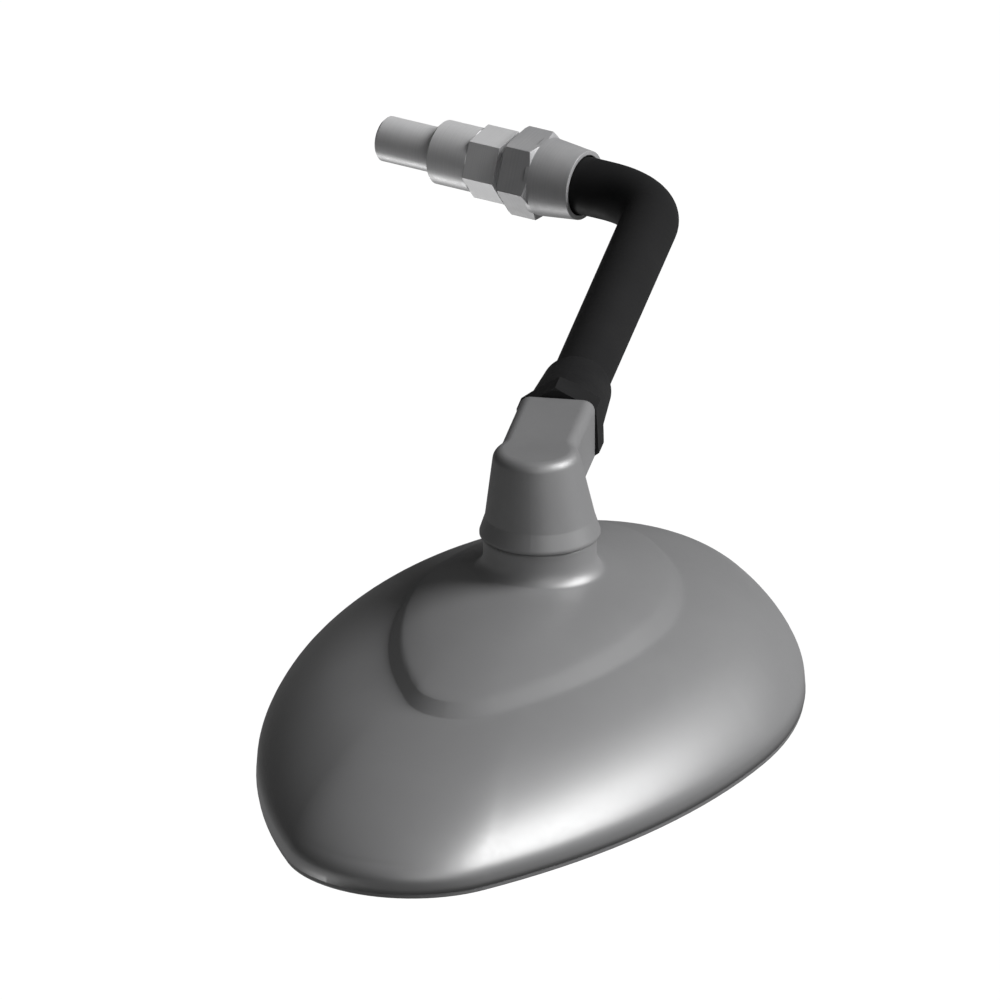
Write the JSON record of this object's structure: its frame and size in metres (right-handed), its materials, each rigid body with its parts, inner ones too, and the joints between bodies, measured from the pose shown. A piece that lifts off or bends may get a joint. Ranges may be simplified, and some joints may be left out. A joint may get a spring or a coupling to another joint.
{
  "type": "motorcycle mirror",
  "caption": "Egg shaped rear-view mirror on a bent black stem with union nuts and a threaded stud.",
  "frame": {"origin": "centre of the collar's seat, where the threaded stud begins", "axes": "+X along the stud from its tip towards the stem, +Z out of the mirror's back"},
  "size_m": [0.1895, 0.2669, 0.0632],
  "materials": {
    "adapter_steel": "satin zinc",
    "bright_nut": "satin zinc",
    "washer_steel": "plain",
    "spring_steel": "oiled",
    "seal_rubber": "matt",
    "stem_black": "satin black",
    "black_nut": "satin black",
    "knuckle_paint": "satin grey",
    "friction_plastic": "plain",
    "bush_bronze": "plain",
    "head_plastic": "satin grey",
    "bezel_plastic": "satin grey",
    "mirror_silver": "polished"
  },
  "bodies": {
    "adapter": {"stud_adapter": "adapter_steel", "lower_union_nut": "bright_nut", "lower_thrust_washer": "washer_steel", "lower_disc_spring": "spring_steel", "lower_dust_seal": "seal_rubber"},
    "stem": {"lower_stem_tail": "washer_steel", "stem_tube": "stem_black", "upper_stem_tail": "washer_steel"},
    "knuckle": {"knuckle": "knuckle_paint", "upper_union_nut": "black_nut", "upper_thrust_washer": "washer_steel", "upper_disc_spring": "spring_steel", "upper_dust_seal": "seal_rubber", "swivel_stud": "washer_steel", "swivel_friction_ring": "friction_plastic", "upper_seat_washer": "washer_steel", "swivel_spring": "spring_steel", "lower_seat_washer": "washer_steel", "swivel_lock_nut": "washer_steel"},
    "head": {"head_shell": "head_plastic", "swivel_bush": "bush_bronze", "reinforcing_plate": "washer_steel", "plate_screws": "washer_steel", "glass_bezel": "bezel_plastic", "glass_gasket": "seal_rubber", "mirror_glass": "mirror_silver"}
  },
  "joints": [
    {"name": "stem_turn", "type": "hinge", "parent": "adapter", "child": "stem", "pos_m": [0.0245, 0, 0], "axis": [1, 0, 0], "continuous": true},
    {"name": "knuckle_turn", "type": "hinge", "parent": "stem", "child": "knuckle", "pos_m": [0.10429, -0.12137, 0], "axis": [0.3762, -0.9265, 0], "continuous": true},
    {"name": "head_swivel", "type": "hinge", "parent": "knuckle", "child": "head", "pos_m": [0.1161, -0.14755, -0.0119], "axis": [0, 0, 1], "continuous": true}
  ]
}
